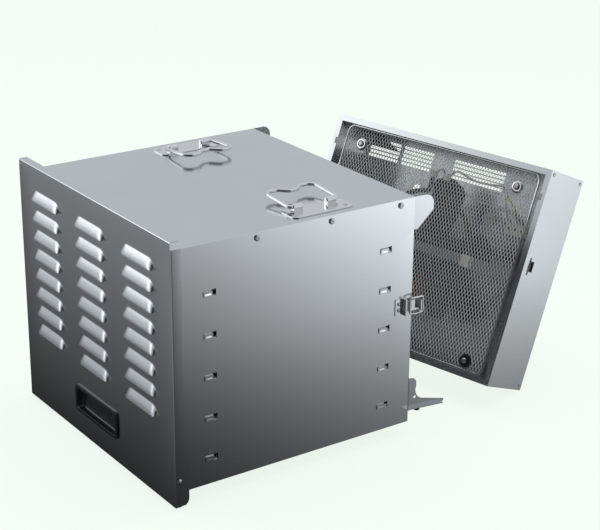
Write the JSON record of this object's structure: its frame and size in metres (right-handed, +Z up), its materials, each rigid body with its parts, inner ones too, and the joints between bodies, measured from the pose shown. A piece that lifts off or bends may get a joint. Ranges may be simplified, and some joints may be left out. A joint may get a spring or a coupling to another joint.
{
  "type": "food dehydrator",
  "caption": "Sheet-steel box food dehydrator with a louvred pull-off door, sliding wire trays, chest handles and a latch-on fan and heater unit set leaning behind it",
  "frame": {"origin": "bottom centre of the whole object as it stands with its rear unit off", "axes": "+X to the right seen from the door, +Y from the door to the rear unit, +Z up"},
  "size_m": [0.4401, 0.7548, 0.372],
  "materials": {
    "sheet_steel": "fine-grained stainless sheet, satin with soft reflections",
    "top_steel": "polished stainless lid sheet",
    "door_steel": "darker satin stainless",
    "rail_steel": "bright pressed rails",
    "unit_steel": "satin stainless housing",
    "bright_metal": "bright nickel plate",
    "fastener_steel": "stainless screw and rivet heads",
    "guard_mesh": "expanded stainless mesh",
    "rubber_black": "matt rubber",
    "pull_plastic": "moulded black plastic",
    "control_plastic": "moulded black plastic",
    "rocker_plastic": "red switch rocker",
    "lamp_lens": "amber lens",
    "heater_sheath": "heat-tinted tubular sheath",
    "ceramic": "glazed ceramic",
    "bracket_zinc": "zinc-plated strap",
    "core_iron": "varnished laminations",
    "winding_copper": "enamelled copper coil",
    "shaft_steel": "ground steel",
    "fan_paint": "black painted blades",
    "terminal_nylon": "natural nylon",
    "lead_white": "white silicone insulation",
    "lead_earth": "green and yellow insulation"
  },
  "bodies": {
    "cabinet": {"left_side_panel": "sheet_steel", "right_side_panel": "sheet_steel", "top_panel": "top_steel", "bottom_panel": "sheet_steel", "front_frame": "sheet_steel", "rear_frame": "sheet_steel", "rear_sill": "sheet_steel", "lower_guide_arms": "sheet_steel", "tray_rails_left": "rail_steel", "tray_rails_right": "rail_steel", "cabinet_screws": "fastener_steel", "arm_bumpers": "rubber_black", "rubber_feet": "rubber_black", "foot_screws": "fastener_steel", "handle_base_left": "bright_metal", "handle_base_right": "bright_metal", "handle_rivets": "fastener_steel", "latch_bases": "bright_metal", "latch_rivets": "fastener_steel"},
    "handle_left": {"handle_bail_left": "bright_metal"},
    "handle_right": {"handle_bail_right": "bright_metal"},
    "lever_left": {"latch_lever_left": "bright_metal"},
    "lever_right": {"latch_lever_right": "bright_metal"},
    "hook_left": {"latch_bail_left": "bright_metal"},
    "hook_right": {"latch_bail_right": "bright_metal"},
    "door": {"door_panel": "door_steel", "door_pull": "pull_plastic", "door_studs": "fastener_steel"},
    "drip_tray": {"drip_tray": "rail_steel"},
    "tray_1": {"wire_tray_1": "bright_metal"},
    "tray_2": {"wire_tray_2": "bright_metal"},
    "tray_3": {"wire_tray_3": "bright_metal"},
    "tray_4": {"wire_tray_4": "bright_metal"},
    "tray_5": {"wire_tray_5": "bright_metal"},
    "fan": {"fan_rotor_shaft": "shaft_steel", "fan_impeller": "fan_paint"},
    "thermostat": {"thermostat_knob": "control_plastic"},
    "timer": {"timer_knob": "control_plastic"},
    "switch": {"power_rocker": "rocker_plastic"},
    "rear_unit": {"rear_housing": "unit_steel", "rear_back_panel": "unit_steel", "fan_guard": "guard_mesh", "guard_washers": "rubber_black", "guard_screws": "fastener_steel", "housing_screws": "fastener_steel", "latch_keepers": "bright_metal", "heating_element": "heater_sheath", "heater_insulators": "ceramic", "heater_bracket": "bracket_zinc", "motor_bracket": "bracket_zinc", "motor_core": "core_iron", "motor_winding": "winding_copper", "thermal_cutout": "ceramic", "terminal_block": "terminal_nylon", "white_leads": "lead_white", "earth_lead": "lead_earth", "control_box": "unit_steel", "switch_bezel": "control_plastic", "pilot_lamp": "lamp_lens", "power_inlet": "control_plastic"}
  },
  "joints": [
    {"name": "handle_right_lift", "type": "hinge", "parent": "cabinet", "child": "handle_right", "pos_m": [0.16565, -0.12141, 0.3633], "axis": [0, 1, 0], "range_deg": [0, 100]},
    {"name": "latch_lever_right_swing", "type": "hinge", "parent": "cabinet", "child": "lever_right", "pos_m": [0.21085, 0.00359, 0.2005], "axis": [0, 0, -1], "range_deg": [0, 120]},
    {"name": "latch_hook_right_swing", "type": "hinge", "parent": "lever_right", "child": "hook_right", "pos_m": [0.21225, 0.01059, 0.2005], "axis": [0, 0, -1], "range_deg": [0, 60]},
    {"name": "handle_left_lift", "type": "hinge", "parent": "cabinet", "child": "handle_left", "pos_m": [-0.15435, -0.12141, 0.3633], "axis": [0, -1, 0], "range_deg": [0, 100]},
    {"name": "latch_lever_left_swing", "type": "hinge", "parent": "cabinet", "child": "lever_left", "pos_m": [-0.19955, 0.00359, 0.2005], "axis": [0, 0, 1], "range_deg": [0, 120]},
    {"name": "latch_hook_left_swing", "type": "hinge", "parent": "lever_left", "child": "hook_left", "pos_m": [-0.20095, 0.01059, 0.2005], "axis": [0, 0, 1], "range_deg": [0, 60]},
    {"name": "door_pull_off", "type": "slide", "parent": "cabinet", "child": "door", "axis": [0, -1, 0], "range_m": [0, 0.5]},
    {"name": "drip_tray_slide", "type": "slide", "parent": "cabinet", "child": "drip_tray", "axis": [0, -1, 0], "range_m": [0, 0.37]},
    {"name": "tray_1_slide", "type": "slide", "parent": "cabinet", "child": "tray_1", "axis": [0, -1, 0], "range_m": [0, 0.33]},
    {"name": "tray_2_slide", "type": "slide", "parent": "cabinet", "child": "tray_2", "axis": [0, -1, 0], "range_m": [0, 0.28]},
    {"name": "tray_3_slide", "type": "slide", "parent": "cabinet", "child": "tray_3", "axis": [0, -1, 0], "range_m": [0, 0.23]},
    {"name": "tray_4_slide", "type": "slide", "parent": "cabinet", "child": "tray_4", "axis": [0, -1, 0], "range_m": [0, 0.18]},
    {"name": "tray_5_slide", "type": "slide", "parent": "cabinet", "child": "tray_5", "axis": [0, -1, 0], "range_m": [0, 0.13]},
    {"name": "rear_unit_seat", "type": "hinge", "parent": "cabinet", "child": "rear_unit", "pos_m": [-0.16365, 0.13479, -0.0695], "axis": [0.8342, 0.051, -0.5491], "range_deg": [0, 27.9]},
    {"name": "fan_spin", "type": "hinge", "parent": "rear_unit", "child": "fan", "pos_m": [-0.00203, 0.21381, 0.17905], "axis": [-0.252, 0.8841, -0.3936], "continuous": true},
    {"name": "thermostat_turn", "type": "hinge", "parent": "rear_unit", "child": "thermostat", "pos_m": [-0.00911, 0.28116, 0.07064], "axis": [0.252, -0.8841, 0.3936], "range_deg": [0, 270]},
    {"name": "timer_turn", "type": "hinge", "parent": "rear_unit", "child": "timer", "pos_m": [0.0372, 0.29373, 0.06923], "axis": [0.252, -0.8841, 0.3936], "range_deg": [0, 330]},
    {"name": "power_rocker_tip", "type": "hinge", "parent": "rear_unit", "child": "switch", "pos_m": [0.08271, 0.3018, 0.06965], "axis": [0.9646, 0.2619, -0.0294], "range_deg": [0, 12]}
  ],
  "couplings": [
    {"joint": "drip_tray_slide", "follows": "door_pull_off", "ratio": 0.74},
    {"joint": "tray_1_slide", "follows": "door_pull_off", "ratio": 0.66},
    {"joint": "tray_2_slide", "follows": "door_pull_off", "ratio": 0.56},
    {"joint": "tray_3_slide", "follows": "door_pull_off", "ratio": 0.46},
    {"joint": "tray_4_slide", "follows": "door_pull_off", "ratio": 0.36},
    {"joint": "tray_5_slide", "follows": "door_pull_off", "ratio": 0.26}
  ]
}
